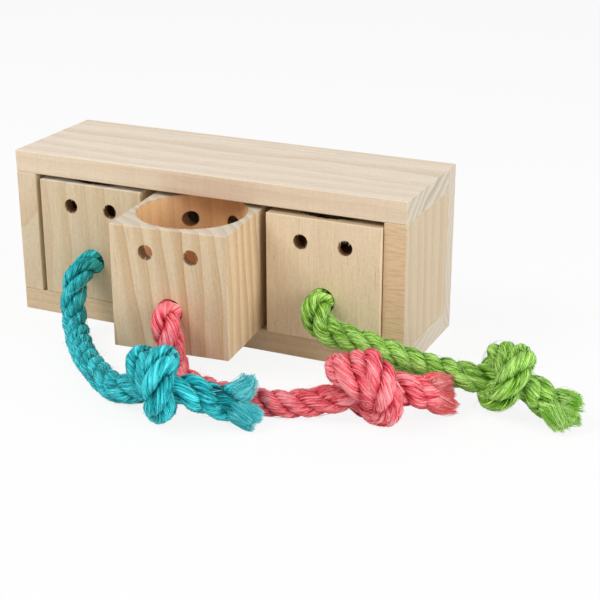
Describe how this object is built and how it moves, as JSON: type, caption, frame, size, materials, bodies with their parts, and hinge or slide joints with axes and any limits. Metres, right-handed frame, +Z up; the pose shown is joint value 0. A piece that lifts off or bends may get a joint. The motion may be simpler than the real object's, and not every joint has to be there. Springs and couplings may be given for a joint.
{
  "type": "wooden treat drawer box",
  "caption": "Open-fronted pine box for pets whose bored wooden drawer blocks slide out as treat cups, each pulled by a length of knotted sisal rope.",
  "frame": {"origin": "middle of the case's underside, on the surface it stands on", "axes": "+X to the right seen from the open front, +Y from the front to the back, +Z up"},
  "size_m": [0.3174, 0.1802, 0.091],
  "materials": {
    "pine_case": "bare planed pine, unvarnished",
    "pine_drawer": "bare planed pine, grain upright",
    "dowel_wood": "bare turned dowel",
    "teal_sisal": "dyed laid sisal, hairy",
    "pink_sisal": "dyed laid sisal, hairy",
    "green_sisal": "dyed laid sisal, hairy"
  },
  "bodies": {
    "case": {"top_board": "pine_case", "bottom_board": "pine_case", "left_side": "pine_case", "right_side": "pine_case", "back_board": "pine_case", "top_dowels": "dowel_wood", "bottom_dowels": "dowel_wood", "back_dowels": "dowel_wood"},
    "left_pull": {"left_drawer": "pine_drawer", "teal_rope": "teal_sisal", "teal_outer_knot": "teal_sisal", "teal_tail": "teal_sisal", "teal_stopper_knot": "teal_sisal"},
    "middle_pull": {"middle_drawer": "pine_drawer", "pink_rope": "pink_sisal", "pink_outer_knot": "pink_sisal", "pink_tail": "pink_sisal", "pink_stopper_knot": "pink_sisal"},
    "right_pull": {"right_drawer": "pine_drawer", "green_rope": "green_sisal", "green_outer_knot": "green_sisal", "green_tail": "green_sisal", "green_stopper_knot": "green_sisal"}
  },
  "joints": [
    {"name": "left_drawer_slide", "type": "slide", "parent": "case", "child": "left_pull", "axis": [0, -1, 0], "range_m": [0, 0.061], "deforming": ["teal_rope", "teal_outer_knot", "teal_tail"]},
    {"name": "middle_drawer_slide", "type": "slide", "parent": "case", "child": "middle_pull", "axis": [0, -1, 0], "range_m": [-0.0442, 0.0145], "deforming": ["pink_rope", "pink_outer_knot", "pink_tail"]},
    {"name": "right_drawer_slide", "type": "slide", "parent": "case", "child": "right_pull", "axis": [0, -1, 0], "range_m": [-0.002, 0.059], "deforming": ["green_rope", "green_outer_knot", "green_tail"]}
  ]
}
